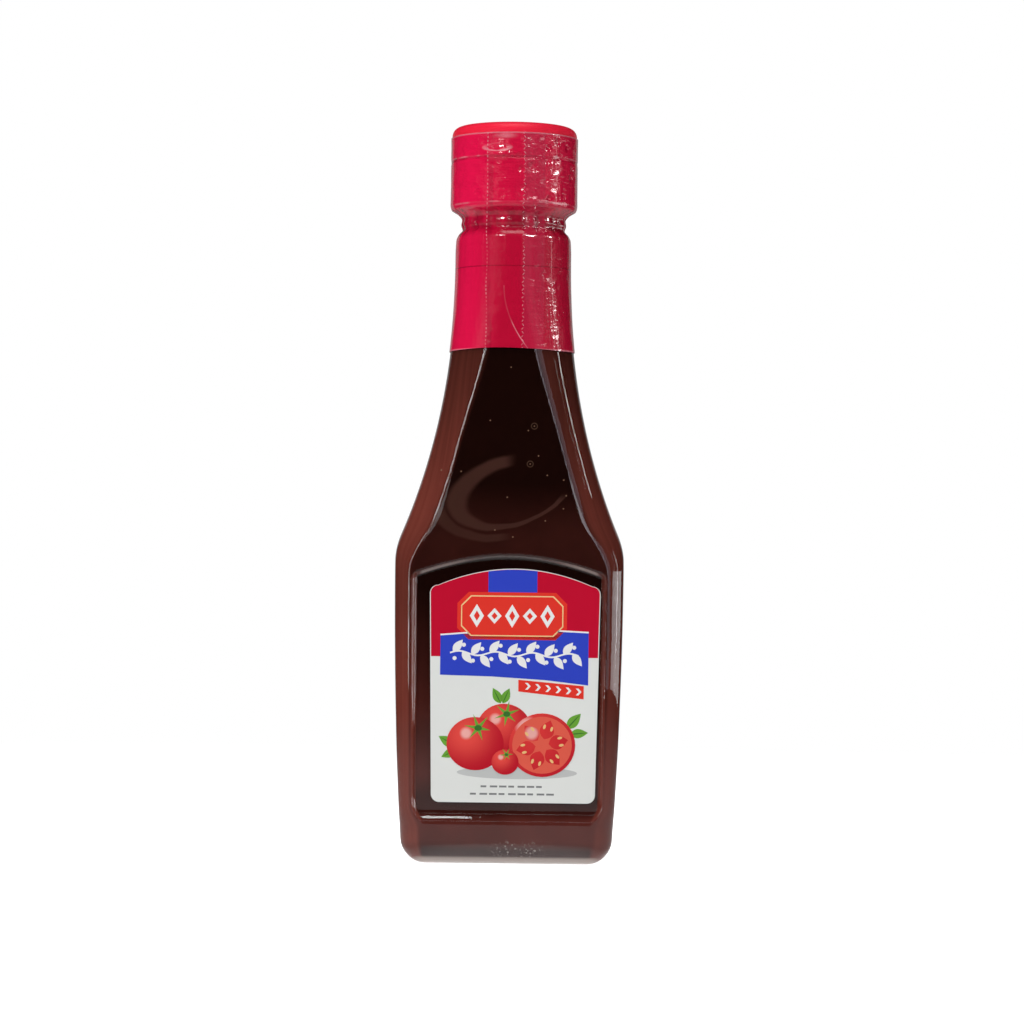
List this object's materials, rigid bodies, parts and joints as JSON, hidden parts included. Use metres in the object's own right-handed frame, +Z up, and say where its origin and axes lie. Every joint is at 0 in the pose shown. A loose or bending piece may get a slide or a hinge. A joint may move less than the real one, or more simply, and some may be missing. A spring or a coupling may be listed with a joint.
{
  "type": "ketchup bottle",
  "caption": "Clear squeeze bottle of ketchup with an arched label panel on a rounded oblong body, a long sloping neck, and a flip-top cap under a red shrink sleeve.",
  "frame": {"origin": "under the middle of the foot, on the surface that the bottle stands on", "axes": "+Z up along the bottle; the front label faces -Y; +X to the right as the front is seen"},
  "size_m": [0.061, 0.0458, 0.1996],
  "materials": {
    "clear_plastic": "clear glossy PET",
    "ketchup": "thick dark sauce, wet",
    "cap_plastic": "moulded polypropylene, satin",
    "sleeve_film": "glossy shrink film",
    "label_print": "coated paper, printed in colour fields"
  },
  "bodies": {
    "root": {"bottle": "clear_plastic", "ketchup": "ketchup", "cap_base": "cap_plastic", "cap_lid": "cap_plastic", "shrink_sleeve": "sleeve_film", "front_label": "label_print", "back_label": "label_print"}
  },
  "joints": []
}
